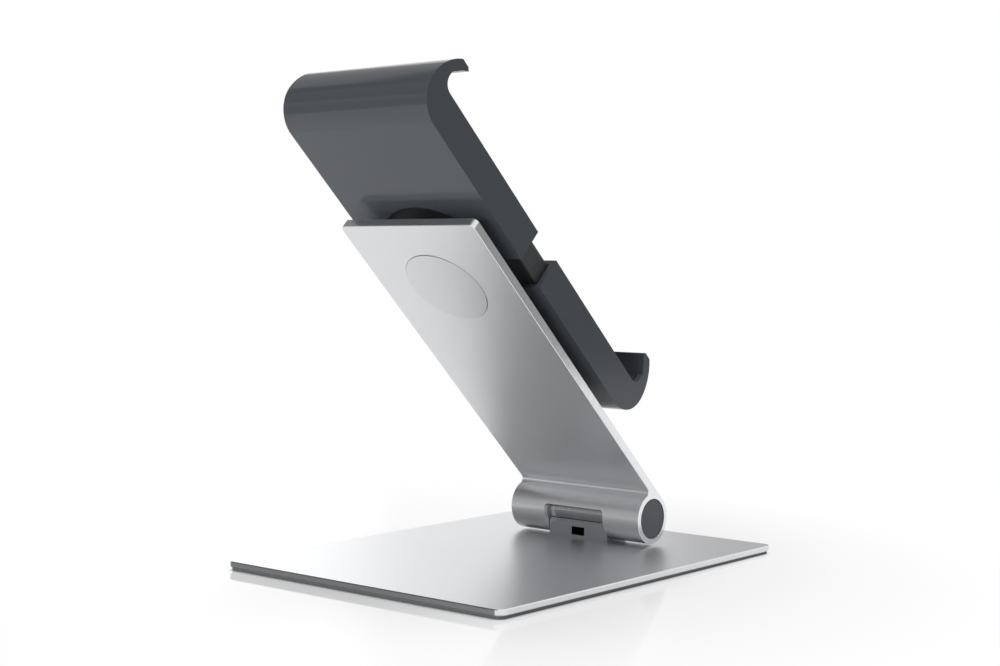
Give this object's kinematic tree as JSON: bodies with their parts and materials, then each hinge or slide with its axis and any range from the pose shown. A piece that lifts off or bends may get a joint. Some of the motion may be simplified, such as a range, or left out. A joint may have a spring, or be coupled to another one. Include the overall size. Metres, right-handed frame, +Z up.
{
  "type": "tablet desk stand",
  "caption": "Desk stand for a tablet: a flat base plate, a friction-hinged tilting arm and a swivelling holder whose sliding hooked jaws grip the tablet's edges.",
  "frame": {"origin": "centre of the foot pad's underside, on the table", "axes": "+Z up; +X across the stand; -Y to the side that the screen faces, where the hinge is"},
  "size_m": [0.155, 0.1962, 0.2127],
  "materials": {
    "blasted_aluminium": "fine blasted, clear anodised, bright bevels",
    "hinge_aluminium": "fine blasted, grey anodised",
    "steel": "turned, bright",
    "screw_steel": "zinc plated",
    "dark_plastic": "moulded, semi-gloss",
    "black_plastic": "moulded, fine texture",
    "grey_plastic": "moulded, fine texture",
    "acetal": "machined, natural",
    "rubber": "fine matt",
    "foot_rubber": "fine matt"
  },
  "bodies": {
    "base": {"base_plate": "blasted_aluminium", "base_pad": "foot_rubber", "hinge_block": "hinge_aluminium", "lock_plate": "steel", "hinge_shaft": "steel", "hinge_screws": "screw_steel"},
    "arm": {"arm": "blasted_aluminium", "hinge_bush_left": "grey_plastic", "hinge_bush_right": "grey_plastic", "end_plug_left": "grey_plastic", "end_plug_right": "grey_plastic", "pivot_cap": "blasted_aluminium"},
    "holder": {"swivel_clamp_plate": "steel", "swivel_clamp_screws": "screw_steel", "swivel_washer": "black_plastic", "swivel_ring": "black_plastic", "swivel_hub": "black_plastic", "hub_screws": "screw_steel", "carrier_tray": "black_plastic", "carrier_cover": "black_plastic", "cover_screws": "screw_steel", "pinion_pin": "steel", "pinion_washer": "steel"},
    "pinion": {"pinion": "acetal"},
    "upper_jaw": {"upper_jaw_shell": "dark_plastic", "upper_rack": "acetal", "upper_rack_screws": "screw_steel", "upper_face_pad": "rubber", "upper_hook_liner": "rubber"},
    "lower_jaw": {"lower_jaw_shell": "dark_plastic", "lower_rack": "acetal", "lower_rack_screws": "screw_steel", "lower_face_pad": "rubber", "lower_hook_liner": "rubber"}
  },
  "joints": [
    {"name": "arm_tilt", "type": "hinge", "parent": "base", "child": "arm", "pos_m": [0, -0.0585, 0.0162], "axis": [1, 0, 0], "range_deg": [-38.7, 51.3]},
    {"name": "holder_swivel", "type": "hinge", "parent": "arm", "child": "holder", "pos_m": [0, 0.04655, 0.11658], "axis": [0, -0.6909, 0.723], "continuous": true},
    {"name": "upper_jaw_slide", "type": "slide", "parent": "holder", "child": "upper_jaw", "axis": [0, 0.723, 0.6909], "range_m": [-0.0083, 0.0217]},
    {"name": "lower_jaw_slide", "type": "slide", "parent": "holder", "child": "lower_jaw", "axis": [0, -0.723, -0.6909], "range_m": [-0.0083, 0.0217]},
    {"name": "pinion_spin", "type": "hinge", "parent": "holder", "child": "pinion", "pos_m": [0, 0.04655, 0.11658], "axis": [0, -0.6909, 0.723], "range_deg": [-70, 180]}
  ],
  "couplings": [
    {"joint": "lower_jaw_slide", "follows": "upper_jaw_slide", "ratio": 1},
    {"joint": "pinion_spin", "follows": "upper_jaw_slide", "rad_per_m": 142.86}
  ]
}
